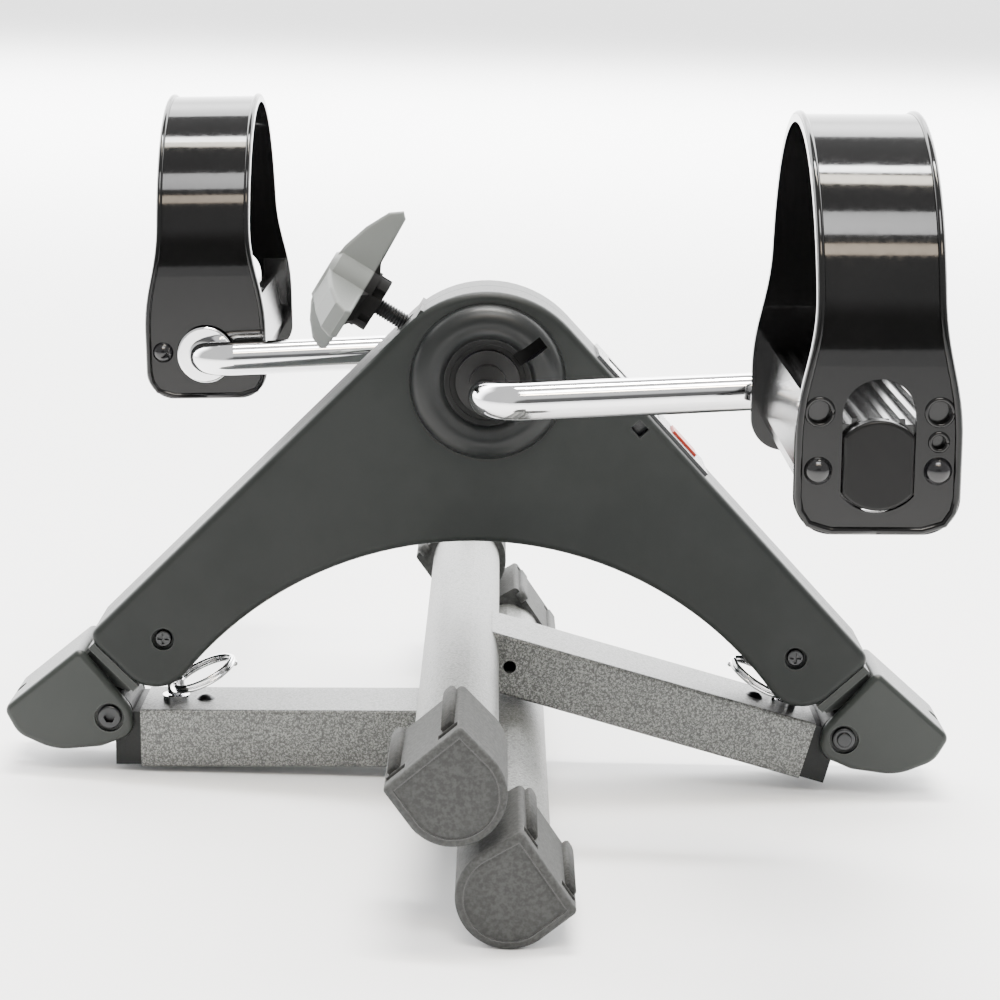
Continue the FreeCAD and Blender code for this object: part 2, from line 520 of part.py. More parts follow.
# ---- pedals ------------------------------------------------------------------------------
def pedal_parts(side, name, tilt):
    """Platform on its axle, a moulded strap buttoned on by studs, and a cap over the axle's end.

    Made about the pedal's middle with the outer face towards +Y, then put on its own side.
    """
    y0, y1 = PEDAL_INNER, PEDAL_OUTER
    mid, span = (y0 + y1) / 2, (y1 - y0) / 2

    def band(inset):
        r = span - inset
        lo = -STRAP_DROP - (1 if inset else 0)
        e = [line(V(0, y0 + inset, lo), V(0, y0 + inset, STRAP_SPRING)),
             arc(V(0, y0 + inset, STRAP_SPRING), V(0, mid, STRAP_SPRING + r),
                 V(0, y1 - inset, STRAP_SPRING)),
             line(V(0, y1 - inset, STRAP_SPRING), V(0, y1 - inset, lo)),
             line(V(0, y1 - inset, lo), V(0, y0 + inset, lo))]
        f = Part.Face(Part.Wire(e))
        f.translate(V(-30, 0, 0))
        return f.extrude(V(60, 0, 0))

    # outline seen along the axle: wide foot, narrow waist, slightly wider crown
    low, waist, top = STRAP_FOOT, STRAP_WAIST, STRAP_CROWN
    corner = 10.0
    base = -STRAP_DROP
    side_edges = []
    for s in (-1, 1):
        side_edges += [
            arc(V(s * (low - corner), 0, base), V(s * (low - corner * 0.293), 0, base + corner * 0.293),
                V(s * low, 0, base + corner)),
            line(V(s * low, 0, base + corner), V(s * low, 0, 6.0)),
            bezier((s * low, 6.0), (s * low, 22.0), (s * waist, 28.0), (s * waist, 44.0)),
            bezier((s * waist, 44.0), (s * waist, 60.0), (s * top, 72.0), (s * top, 90.0))]
    side_edges += [line(V(-(low - corner), 0, base), V(low - corner, 0, base)),
                   line(V(-top, 0, 90.0), V(top, 0, 90.0))]
    outline = Part.Face(Part.Wire(Part.__sortEdges__(side_edges)))
    outline.translate(V(0, y0 - 5, 0))
    outline = outline.extrude(V(0, y1 - y0 + 10, 0))
    strap = band(0).cut(band(STRAP_T)).common(outline)

    arch_at, h = 13.0, WINDOW_HALF
    through = (y1 - 8, y1 + 2)
    window = fuse(rod_y(0, arch_at, h, *through).common(box((-12, 12), through, (arch_at, 30))),
                  box((-h, h), through, (-5.0, arch_at)),
                  rod_y(0, 0, h + 3, *through).common(box((-h, h), through, (-14, 0))))
    holes = [window, rod_y(0, -PEDAL_LIFT, FLANGE_R + 0.35, y0 - 2, y0 + 5),
             rod_y(SPARE[0], 6.2, 1.9, y1 - 5, y1 + 2)]
    for s in (-1, 1):
        holes.append(rod_y(s * SPARE[0], SPARE[1], SPARE_R, y1 - 5, y1 + 2))
        holes.append(rod_y(s * STUD[0], STUD[1], 2.0, y0 - 2, y1 + 2))
    strap = strap.cut(Part.makeCompound(holes))

    # platform with slanting flanks, lengthwise ridges on top and an ear at each outer corner
    p0, p1 = y0 + STRAP_T + 0.05, y1 - STRAP_T - 0.05
    tread, floor = PLATFORM_HALF, PLATFORM_TOP - RIDGE_HEIGHT
    pitch = 2 * (tread - RIDGE_WIDTH / 2) / (RIDGES - 1)
    section = [(-16.5, PLATFORM_BOTTOM), (-PLATFORM_BULGE, -6.0), (-tread, floor)]
    for k in range(RIDGES):
        left = -tread + k * pitch
        section += [(left + 0.2, PLATFORM_TOP), (left + RIDGE_WIDTH - 0.2, PLATFORM_TOP)]
        section += [(left + RIDGE_WIDTH, floor)] + ([(left + pitch, floor)] if k < RIDGES - 1 else [])
    section += [(PLATFORM_BULGE, -6.0), (16.5, PLATFORM_BOTTOM)]
    platform = prism(section, p0, p1)
    for s in (-1, 1):
        platform = platform.fuse(box(sorted((s * EAR[0], s * EAR[1])), (p1 - STRAP_T, p1), (0.0, EAR_TOP)))
    bores = [rod_y(0, -PEDAL_LIFT, ROD_R + RUN_FIT, y0, y1 - 6),
             rod_y(0, -PEDAL_LIFT, CLIP_R + 0.5, y1 - STRAP_T - 7.8, y1),
             box((-8.0, 8.0), (p0 + 8, p1 - 14), (PLATFORM_BOTTOM - 1, PLATFORM_BOTTOM + 1.1))]
    for s in (-1, 1):
        bores.append(rod_y(s * STUD[0], STUD[1], 1.9, y1 - 14, y1))
        bores.append(rod_y(s * STUD[0], STUD[1], 1.9, y0, y0 + 14))
    platform = platform.cut(Part.makeCompound(bores))

    # cap: flat-sided disc through the strap's window
    disc = rod_y(0, 0, 12.0, p1, y1 + 1.4).common(box((-9.3, 9.3), (y1 - 5, y1 + 3), (-13, 13)))
    disc = round_edges(disc, 1.0, lies_at(y1 + 1.4))

    studs = []
    for s in (-1, 1):
        for face, out in ((y0, -1), (y1, 1)):
            shank = rod_y(s * STUD[0], STUD[1], 1.88, face - out * 10, face + out * 0.5)
            head = Part.makeSphere(STUD_R, V(s * STUD[0], face - out * 1.1, STUD[1]))
            head = head.common(rod_y(s * STUD[0], STUD[1], 5.0, face, face + out * 4))
            studs.append(fuse(shank, head))
    made = {"platform": platform, "strap": strap, "axle_cap": disc, "strap_studs": Part.makeCompound(studs)}
    for piece, shape in made.items():
        if side == FRONT:
            shape = mirrored(shape, Y_AXIS)
        shape.translate(V(0, 0, PEDAL_LIFT))
        shape.rotate(V(0, 0, 0), Y_AXIS, -tilt)
        shape.translate(V(-side * AXLE_X, 0, -side * AXLE_Z))
        parts[name + "_pedal_" + piece] = shape


def bezier(*points):
    curve = Part.BezierCurve()
    curve.setPoles([V(x, 0, z) for x, z in points])
    return curve.toShape()


# ---- legs --------------------------------------------------------------------------------
def foot_cap():
    """Rubber foot over the crossbar's +Y end: round above, a grooved flat tread below (-Z)."""
    y0, y1 = CAP_END - CAP_LENGTH, CAP_END
    r, w, h, corner = CAP_R, CAP_FLAT_HALF, CAP_FLAT, 1.6
    q = corner * (1 - cos(radians(45)))
    e = [arc(V(-r, y0, 0), V(0, y0, r), V(r, y0, 0)), line(V(r, y0, 0), V(w, y0, -h + corner)),
         arc(V(w, y0, -h + corner), V(w - q, y0, -h + q), V(w - corner, y0, -h)),
         line(V(w - corner, y0, -h), V(-w + corner, y0, -h)),
         arc(V(-w + corner, y0, -h), V(-w + q, y0, -h + q), V(-w, y0, -h + corner)),
         line(V(-w, y0, -h + corner), V(-r, y0, 0))]
    face = Part.Face(Part.Wire(e))
    cap = round_edges(face.extrude(V(0, y1 - y0, 0)), 1.4, lies_at(y1))
    cap = cap.cut(rod_y(0, 0, BAR_R + 0.02, y0 - 1, BAR_END))
    rim = face.makeOffset2D(-2.4)
    rim.translate(V(0, y1 - y0 - 0.5, 0))
    cap = cap.cut(rim.extrude(V(0, 2, 0)))
    # two lengthwise tread grooves, each with a notch at the outer end
    for s in (-1, 1):
        groove = s * 9.6
        cap = cap.cut(box((groove - 1.2, groove + 1.2), (y0 + 6, y1 - 9), (-h - 1, -h + 1.1)))
        cap = cap.cut(box((groove - 3.6, groove + 3.6), (y1 - 8.5, y1 - 4.5), (-h - 1, -h + 1.1)))
    return cap


def leg_parts(side, name, rise, length, ring_lift):
    """One folding leg, made with its stem along +X from the hinge, then put in its place."""
    made = {}
    mid = -LEG_DROP
    bar = rod_y(length, mid, BAR_R, -BAR_END, BAR_END)
    made["crossbar"] = bar.cut(rod_y(length, mid, BAR_R - TUBE_WALL, -BAR_END - 1, BAR_END + 1))

    hh, hw = STEM_H / 2, STEM_W / 2
    stem = box((STEM_START, length), (-hw, hw), (mid - hh, mid + hh))
    stem = round_edges(stem, 1.2, lambda e: e.BoundBox.XLength > 50)
    stem = stem.cut(box((0, length + 5), (-hw + TUBE_WALL, hw - TUBE_WALL),
                        (mid - hh + TUBE_WALL, mid + hh - TUBE_WALL)))
    stem = stem.cut(rod_y(length, mid, BAR_R + 0.02, -40, 40))
    pin_top = V(PIN_ALONG, 0, mid + hh + 30)
    pin_low = V(PIN_ALONG, 0, mid - hh - 30)
    stem = stem.cut(rod(pin_low, pin_top, 3.0))
    stem = stem.cut(rod_y(length - 17.0, mid, 2.2, -30, -10))
    stem = stem.cut(rod(V(RIVET_ALONG, 0, mid), V(RIVET_ALONG, 0, 10), 1.52))
    made["stem"] = stem

    ih, iw = hh - TUBE_WALL - 0.1, hw - TUBE_WALL - 0.1
    plug = fuse(box((STEM_START - 0.1, 35.0), (-iw, iw), (mid - ih, mid + ih)),
                box((1.4, STEM_START), (-14.2, 14.2), (mid - 9.2, 1.0)),
                rod_y(0, 0, 7.6, -13.6, 13.6))
    plug = plug.cut(rod_y(0, 0, HINGE_R + RUN_FIT, -20, 20))
    plug = plug.cut(rod(pin_low, pin_top, PIN_R + RUN_FIT))
    plug = plug.cut(rod(V(PIN_ALONG, 0, mid - 4.0), pin_top, 4.4))
    plug = plug.cut(rod(V(RIVET_ALONG, 0, mid), V(RIVET_ALONG, 0, 10), 1.5))
    made["end_plug"] = plug

    top = mid + hh
    def up_rivet(low, high, r):
        return rod(V(RIVET_ALONG, 0, low), V(RIVET_ALONG, 0, high), r)

    head = Part.makeSphere(4.0, V(RIVET_ALONG, 0, top - 2.4)).common(up_rivet(top, 9, 6))
    made["plug_rivet"] = fuse(head, up_rivet(top - 7.0, top + 0.5, 1.48))

    # sprung pull pin in a threaded barrel
    barrel = fuse(Part.makeCylinder(4.6, 1.6, V(PIN_ALONG, 0, top)),
                  Part.makeCylinder(2.98, TUBE_WALL + 0.2, V(PIN_ALONG, 0, top - TUBE_WALL - 0.1)))
    made["pin_barrel"] = barrel.cut(rod(pin_low, pin_top, 1.6))
    shaft = rod(V(PIN_ALONG, 0, mid - hh - 0.2), V(PIN_ALONG, 0, mid - 3.6), PIN_R)
    nose = Part.makeSphere(3.4, V(PIN_ALONG, 0, mid - hh + 2.2)).common(
        rod(V(PIN_ALONG, 0, mid - hh - 3), V(PIN_ALONG, 0, mid - hh), PIN_R))
    stalk = rod(V(PIN_ALONG, 0, mid - 3.7), V(PIN_ALONG, 0, top + 3.0), 1.5)
    knob = round_edges(Part.makeCylinder(3.0, 5.6, V(PIN_ALONG, 0, top + 1.8)), 0.7, lies_level)
    ring_z = top + 4.6
    eye = rod(V(PIN_ALONG, -5, ring_z), V(PIN_ALONG, 5, ring_z), 1.7)
    made["pull_pin"] = fuse(shaft, nose, stalk, knob).cut(eye)
    coil_low, coil_top = mid - 3.5, top - TUBE_WALL - 0.2
    coil = rod(V(PIN_ALONG, 0, coil_low), V(PIN_ALONG, 0, coil_top), 3.6)
    made["pin_spring"] = coil.cut(rod(pin_low, pin_top, 2.0))
    ring = Part.makeTorus(RING_R, RING_WIRE, V(0, 0, 0), V(0, 0, 1))
    ring.translate(V(PIN_ALONG + RING_R, 0, ring_z))
    ring.rotate(V(PIN_ALONG, 0, ring_z), V(1, 0, 0), RING_LEAN)
    ring.rotate(V(PIN_ALONG, 0, ring_z), Y_AXIS, -ring_lift)
    made["pull_ring"] = ring

    cap = foot_cap()
    cap.rotate(V(0, 0, 0), Y_AXIS, -(90 + CAP_TILT))
    cap.translate(V(length, 0, mid))
    made["rear_foot_cap"] = cap
    made["front_foot_cap"] = mirrored(cap, Y_AXIS)

    for piece, shape in made.items():
        if side == RIGHT:
            shape = mirrored(shape, V(1, 0, 0))
        shape.rotate(V(0, 0, 0), Y_AXIS, side * rise)
        shape.translate(V(side * PIVOT_X, 0, PIVOT_Z))
        parts[name + "_" + piece] = shape


def build():
    housing_shells()
    housing_screws()
    hub_parts()
    hinge_parts()
    display_parts()
    brake_parts()
    knob_parts()
    crank_parts()
    pedal_parts(FRONT, "front", FRONT_TILT)
    pedal_parts(REAR, "rear", REAR_TILT)
    leg_parts(LEFT, "left", LEFT_RISE, LEFT_LEG, LEFT_RING_LIFT)
    leg_parts(RIGHT, "right", RIGHT_RISE, RIGHT_LEG, RIGHT_RING_LIFT)


build()
os.makedirs("parts", exist_ok=True)
for node, shape in parts.items():
    shape.translate(V(0, 0, CRANK_HEIGHT))
    shape.exportStep("parts/" + node + ".step")
    print(f"{node:28s} solids {len(shape.Solids)} valid {shape.isValid()} volume {shape.Volume:10.1f}")
print("nodes", len(parts), "crank height", round(CRANK_HEIGHT, 3))
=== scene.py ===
"""Looks of the folding pedal exerciser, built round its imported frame. Metres.

X runs from the left leg hinge to the right one, Y from the front pedal to the rear pedal, Z is up.
"""

import bmesh
import bpy
import json
from math import cos, pi, radians, sin, tan, tau
from mathutils import Matrix, Vector
import numpy as np


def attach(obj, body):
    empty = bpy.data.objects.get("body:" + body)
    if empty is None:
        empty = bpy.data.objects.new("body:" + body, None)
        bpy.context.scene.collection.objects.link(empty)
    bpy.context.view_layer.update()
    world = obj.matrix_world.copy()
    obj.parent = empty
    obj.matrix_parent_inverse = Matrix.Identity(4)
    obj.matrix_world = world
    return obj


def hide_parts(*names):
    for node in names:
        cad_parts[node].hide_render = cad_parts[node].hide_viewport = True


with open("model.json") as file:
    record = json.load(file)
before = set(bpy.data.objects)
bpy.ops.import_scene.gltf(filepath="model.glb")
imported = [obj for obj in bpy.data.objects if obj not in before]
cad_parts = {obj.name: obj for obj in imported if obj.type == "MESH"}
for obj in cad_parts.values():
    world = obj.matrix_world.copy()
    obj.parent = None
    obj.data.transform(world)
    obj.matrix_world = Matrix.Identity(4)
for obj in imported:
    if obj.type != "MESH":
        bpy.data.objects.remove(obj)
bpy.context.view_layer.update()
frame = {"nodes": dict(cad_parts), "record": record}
MM = 0.001

# ---- dimensions that the CAD has too -----------------------------------------------------
CRANK = Vector((0.0, 0.0, 0.137925))    # middle of the crank's axis, in metres
SCREW_AXIS = Vector((-cos(radians(30)), 0.0, sin(radians(30))))
# the rest in millimetres
CRANK_ARM = 102.6
CRANK_SLOPE = radians(4.4)
PEDALS = (("front", -1, 1.5), ("rear", 1, 2.5))     # name, side along Y, tilt to the left in degrees
PEDAL_LIFT = 2.2            # pedal's middle above its axle
STRAP_INNER, STRAP_OUTER = 75.0, 197.0      # faces, from the middle plane
STRAP_SPRING = 26.0         # arch's start, above the pedal's middle
STRAP_FOOT, STRAP_WAIST, STRAP_CROWN = 21.8, 16.7, 16.9     # half widths, from the bottom up
STRAP_BASE, STRAP_CORNER_R = -18.5, 10.0
STRAP_HOLES = ((-15.6, 14.0, 3.5), (15.6, 14.0, 3.5), (15.6, 6.2, 2.3))     # across, up, rim's radius
RIM_R, HOLE_RIM_R, RIM_INSET = 1.0, 0.6, 1.1
RIB_OFFSET = 9.9            # tread ribs, either side of the tread's middle
HUB_SLOT_ANGLE = radians(39)

# ---- painted shade in the hub cover's recess and slot and on the knob's hub: each pair is where the shade starts to change and where it has changed ---
HUB_RECESS = (13.6, 14.8)   # from the crank's axis
HUB_SLOT_HALF = (2.1, 2.3)  # off the slot's middle line
HUB_SLOT_START, HUB_SLOT_END = (10.5, 11.5), (22.7, 22.9)   # along the slot
KNOB_HUB_END = (49.6, 50.4)     # along the screw

# ---- camera ------------------------------------------------------------------------------
CAMERA_AT = (0.0002, -0.8689, 0.27485)
CAMERA_DOWN = radians(11.70)
CAMERA_YAW = radians(0.34)
CAMERA_ROLL = radians(1.84)
SENSOR = 36.0               # millimetres, as Blender's cameras take it
LENS = 94.68

# ---- studio ------------------------------------------------------------------------------
FLOOR_SIZE = 60.0
SKY = 0.9                   # radiance of the room, of its dark front, and of the bright wall behind
FRONT = 0.15
WALL = 8.0
AIM = Vector((0.05, -0.05, 0.2))
STRIP_REACH = 3.0           # of the overhead strips from the object
STRIP_LENGTH = 1.7
STRIP_SPREAD = radians(56)
WARM = (1.0, 0.84, 0.66)
FAINTLY_WARM = (1.0, 0.93, 0.8)


def make_camera():
    data = bpy.data.cameras.new("camera")
    data.sensor_width = SENSOR
    data.lens = LENS
    camera = bpy.data.objects.new("camera", data)
    bpy.context.scene.collection.objects.link(camera)
    turn = Matrix.Rotation(-CAMERA_YAW, 4, "Z") @ Matrix.Rotation(pi / 2 - CAMERA_DOWN, 4, "X")
    camera.matrix_world = Matrix.Translation(CAMERA_AT) @ turn @ Matrix.Rotation(CAMERA_ROLL, 4, "Z")
    bpy.context.scene.camera = camera


def soft_box(name, at, size, radiance, spread, aim=AIM, colour=(1, 1, 1)):
    """A soft box with a grid: radiance along its axis, none beyond half of spread from it."""
    data = bpy.data.lights.new(name, "AREA")
    data.shape = "RECTANGLE"
    data.size, data.size_y = size
    data.spread = spread
    gain = tan(spread / 2) / (tan(spread / 2) - spread / 2)
    data.energy = radiance * pi * size[0] * size[1] / gain
    data.color = colour
    light = bpy.data.objects.new(name, data)
    light.location = at
    light.rotation_euler = (aim - Vector(at)).to_track_quat("-Z", "Y").to_euler()
    bpy.context.scene.collection.objects.link(light)


def overhead(name, angle, width, radiance, colour=(1, 1, 1)):
    """A strip turned by angle over the object from the back horizon; angle and width in degrees."""
    at = AIM + Vector((0.05, STRIP_REACH * cos(radians(angle)), STRIP_REACH * sin(radians(angle))))
    size = (STRIP_LENGTH, STRIP_REACH * radians(width))
    soft_box(name, at, size, radiance, STRIP_SPREAD, colour=colour)


def make_studio():
    world = bpy.data.worlds.new("studio")
    bpy.context.scene.world = world
    world.use_nodes = True
    tree = world.node_tree
    place = tree.nodes.new("ShaderNodeTexCoord")
    split = tree.nodes.new("ShaderNodeSeparateXYZ")
    tree.links.new(place.outputs["Generated"], split.inputs[0])
    ranges = []
    steps = (("Y", 0.05, 0.5, 0, WALL), ("Z", 0.6, 0.8, 1, 0), ("Y", -0.96, -0.88, FRONT, SKY))
    for axis, low, high, to_low, to_high in steps:
        fit = tree.nodes.new("ShaderNodeMapRange")
        fit.interpolation_type = "SMOOTHSTEP"
        limits = {"From Min": low, "From Max": high, "To Min": to_low, "To Max": to_high}
        for key, value in limits.items():
            fit.inputs[key].default_value = value
        tree.links.new(split.outputs[axis], fit.inputs["Value"])
        ranges.append(fit.outputs["Result"])
    total = tree.nodes.new("ShaderNodeMath")
    total.operation = "MULTIPLY_ADD"
    for result, socket in zip(ranges, total.inputs):
        tree.links.new(result, socket)
    background = tree.nodes["Background"]
    background.inputs["Color"].default_value = (1, 1, 1, 1)
    tree.links.new(total.outputs[0], background.inputs["Strength"])
    overhead("top_strip", 80, 5, 125)
    overhead("top_strip_edge", 86.5, 6, 60, FAINTLY_WARM)
    overhead("front_box", 116, 13, 26)
    overhead("front_strip", 130.5, 6, 24, WARM)
    soft_box("floor_light", (0, 3.4, 2.4), (6.0, 3.6), 22, radians(130), aim=Vector((0, 3.6, 0)))


def make_floor(material):
    bpy.ops.mesh.primitive_plane_add(size=FLOOR_SIZE)
    floor = bpy.context.object
    floor.name = "floor"
    floor.data.materials.append(material)


# ---- materials ---------------------------------------------------------------------------
class Finish:
    """One node material round a Principled shader. Pattern sizes are in metres on the piece."""

    def __init__(self, name, roughness, metallic=0.0, **sockets):
        self.material = bpy.data.materials.new(name)
        self.material.use_nodes = True
        self.tree = self.material.node_tree
        self.shader = self.tree.nodes["Principled BSDF"]
        self.shader.inputs["Metallic"].default_value = metallic
        self.shader.inputs["Roughness"].default_value = roughness
        for key, value in sockets.items():
            self.shader.inputs[key.replace("_", " ")].default_value = value
        self.place = self.node("TexCoord").outputs["Object"]
        self.normal = None

    def node(self, kind, inputs=None, **settings):
        made = self.tree.nodes.new("ShaderNode" + kind)
        for key, value in settings.items():
            setattr(made, key, value)
        for key, value in (inputs or {}).items():
            if isinstance(value, bpy.types.NodeSocket):
                self.tree.links.new(value, made.inputs[key])
            else:
                made.inputs[key].default_value = value
        return made

    def noise(self, size, detail=2.0, stretch=(1, 1, 1), roughness=0.5):
        place = self.node("Mapping", {"Vector": self.place, "Scale": stretch}).outputs[0]
        inputs = {"Vector": place, "Scale": 1 / size, "Detail": detail, "Roughness": roughness}
        return self.node("TexNoise", inputs).outputs["Fac"]

    def cells(self, size, feature="F1", smooth=0.0):
        made = self.node("TexVoronoi", {"Vector": self.place, "Scale": 1 / size}, feature=feature)
        if feature == "SMOOTH_F1":
            made.inputs["Smoothness"].default_value = smooth
        return made.outputs["Distance"]

    def fit(self, value, low, high, to_low=0.0, to_high=1.0):
        """value's range low..high mapped to to_low..to_high, smoothly and clamped."""
        inputs = {"Value": value, "From Min": low, "From Max": high, "To Min": to_low, "To Max": to_high}
        return self.node("MapRange", inputs, interpolation_type="SMOOTHSTEP").outputs["Result"]

    def mix(self, factor, first, second):
        """Colours first and second mixed by factor; either may be a socket."""
        made = self.node("Mix", {"Factor": factor}, data_type="RGBA")
        for socket, value in ((made.inputs[6], first), (made.inputs[7], second)):
            if isinstance(value, bpy.types.NodeSocket):
                self.tree.links.new(value, socket)
            else:
                socket.default_value = (*value, 1.0)
        return made.outputs[2]

    def along(self, direction, start):
        """Distance in millimetres along direction from the point start."""
        away = self.node("VectorMath", {0: self.place, 1: start}, operation="SUBTRACT").outputs[0]
        onto = self.node("VectorMath", {0: away, 1: direction}, operation="DOT_PRODUCT")
        return self.node("Math", {0: onto.outputs["Value"], 1: 1 / MM}, operation="MULTIPLY").outputs[0]

    def math(self, operation, first, second=0.0):
        return self.node("Math", {0: first, 1: second}, operation=operation).outputs[0]

    def edges(self, radius, low=0.02, high=0.25):
        """1 on edges rounder than the surface by radius, 0 elsewhere."""
        rounded = self.node("Bevel", {"Radius": radius}, samples=4).outputs[0]
        flat = self.node("NewGeometry").outputs["Normal"]
        same = self.node("VectorMath", operation="DOT_PRODUCT")
        self.tree.links.new(rounded, same.inputs[0])
        self.tree.links.new(flat, same.inputs[1])
        return self.fit(same.outputs["Value"], 1 - high, 1 - low, 1.0, 0.0)

    def colour(self, value):
        self.tree.links.new(value, self.shader.inputs["Base Color"])

    def rough(self, factor, low, high, dull=None):
        """Roughness low..high by factor, and up to 0.9 where the socket dull is 1."""
        value = self.fit(factor, 0.3, 0.7, low, high)
        if dull:
            value = self.math("MAXIMUM", value, self.math("MULTIPLY", dull, 0.9))
        self.tree.links.new(value, self.shader.inputs["Roughness"])

    def bump(self, height, depth):
        """Adds relief: height 0..1 stands for depth metres."""
        inputs = {"Height": height, "Distance": depth, "Strength": 1.0}
        if self.normal:
            inputs["Normal"] = self.normal
        self.normal = self.node("Bump", inputs).outputs[0]
        self.tree.links.new(self.normal, self.shader.inputs["Normal"])


def thousandths(colour):
    return tuple(c / 1000 for c in colour)


# black of the dark marks: the housing's parting line, and painted shade in the hub cover's recess and
# slot and on the knob's hub
BLACK = thousandths((2, 2, 2))


def moulding(name, dark, light, grain, depth, roughness, shine, edge, dark_marks_and_shade=None):
    """Moulded plastic with an even fine texture, faint clouding and a painted highlight along its edges.

    Colours in thousandths, grain in millimetres, depth in micrometres. The last argument, given the
    finish,
    gives how much of each spot is black: the dark parting line, and painted shade in the hub cover and on
    the knob's hub.
    """
    finish = Finish(name, roughness[0], Specular_IOR_Level=shine)
    cloud = finish.noise(0.03, 3)
    skin = finish.mix(finish.fit(cloud, 0.35, 0.65), thousandths(dark), thousandths(light))
    # edge: a paler colour on rounded edges, a painted highlight
    if edge:
        skin = finish.mix(finish.edges(0.7 * MM), skin, thousandths(edge))
    # black where the dark marks are: the parting line, and painted shade in the hub cover and on the
    # knob's hub
    dark_and_shaded = dark_marks_and_shade(finish) if dark_marks_and_shade else None
    if dark_and_shaded:
        skin = finish.mix(dark_and_shaded, skin, BLACK)
    finish.colour(skin)
    texture = finish.noise(grain * MM, 3)
    finish.rough(texture, *roughness, dark_and_shaded)
    finish.bump(texture, depth * 1e-6)
    return finish.material


def seam(finish):
    """Parting line on the middle plane."""
    return finish.fit(finish.math("ABSOLUTE", finish.along((0, 1, 0), CRANK)), 0.2, 0.4, 1, 0)


def hub_shadow(finish):
    """The recess inside the cover's ring and the slot across the ring."""
    across, up = finish.along((1, 0, 0), CRANK), finish.along((0, 0, 1), CRANK)
    radius = finish.math("SQRT", finish.math("ADD", finish.math("MULTIPLY", across, across),
                                             finish.math("MULTIPLY", up, up)))
    recess = finish.fit(radius, *HUB_RECESS, 0.75, 0)
    ahead, aside = cos(HUB_SLOT_ANGLE), sin(HUB_SLOT_ANGLE)
    out = finish.along((ahead, 0, aside), CRANK)
    off = finish.math("ABSOLUTE", finish.along((-aside, 0, ahead), CRANK))
    length = finish.math("MULTIPLY", finish.fit(out, *HUB_SLOT_START),
                         finish.fit(out, *HUB_SLOT_END, 1, 0))
    slot = finish.math("MULTIPLY", finish.fit(off, *HUB_SLOT_HALF, 1, 0), length)
    return finish.math("MAXIMUM", recess, slot)


def knob_hub_shade(finish):
    """The lugged hub under the knob's wings, painted black: its own dark plastic deepened by painted
    shade under the wings.
    """
    return finish.fit(finish.along(SCREW_AXIS, CRANK), *KNOB_HUB_END, 1, 0)


def plated(name, colour, roughness, scratch=0.2, depth=2e-6, tint=None):
    """Bright metal with fine scratches and a little unevenness in its shine."""
    finish = Finish(name, roughness[0], 1.0)
    haze = finish.noise(8 * MM, 4)
    colour = thousandths(colour)
    tint = thousandths(tint) if tint else [0.9 * c for c in colour]
    finish.colour(finish.mix(finish.fit(haze, 0.3, 0.7), colour, tint))
    lines = finish.noise(scratch * MM, 2, stretch=(1, 1, 0.08))
    finish.rough(lines, *roughness)
    finish.bump(lines, depth)
    return finish.material


def hammertone():
    """Silver-vein powder coat: fine pale grains between dark pits, with a pebbled surface."""
    finish = Finish("powder_coat", 0.42, 0.35, Specular_IOR_Level=0.5)
    cells = finish.cells(0.8 * MM, "SMOOTH_F1", 0.5)
    fine = finish.noise(0.42 * MM, 3, roughness=0.6)
    speckle = finish.mix(finish.fit(fine, 0.38, 0.62), (0.055, 0.058, 0.055), (0.24, 0.245, 0.235))
    finish.colour(finish.mix(finish.fit(cells, 0.35, 0.85), speckle, (0.06, 0.062, 0.06)))
    finish.rough(fine, 0.34, 0.5)
    finish.bump(fine, 0.035 * MM)
    finish.bump(cells, -0.03 * MM)
    return finish.material


def rubber():
    finish = Finish("foot_rubber", 0.75, Specular_IOR_Level=0.2)
    mottle = finish.noise(1.2 * MM, 4, roughness=0.6)
    skin = finish.mix(finish.fit(mottle, 0.35, 0.68), (0.036, 0.037, 0.036), (0.056, 0.057, 0.056))
    # paler along the edges: a painted highlight
    finish.colour(finish.mix(finish.edges(0.8 * MM), skin, (0.10, 0.10, 0.10)))
    pores = finish.noise(0.3 * MM, 3)
    finish.rough(pores, 0.68, 0.85)
    finish.bump(pores, 0.02 * MM)
    return finish.material


def floor_finish():
    finish = Finish("floor", 0.7, Specular_IOR_Level=0.2)
    cloud = finish.noise(0.6, 2)
    finish.colour(finish.mix(cloud, (0.88, 0.88, 0.88), (0.9, 0.9, 0.9)))
    return finish.material


def lens_finish():
    finish = Finish("lens", 0.05, Transmission_Weight=1.0, IOR=1.45)
    finish.colour(finish.mix(finish.noise(6 * MM), (0.5, 0.55, 0.56), (0.58, 0.62, 0.62)))
    return finish.material


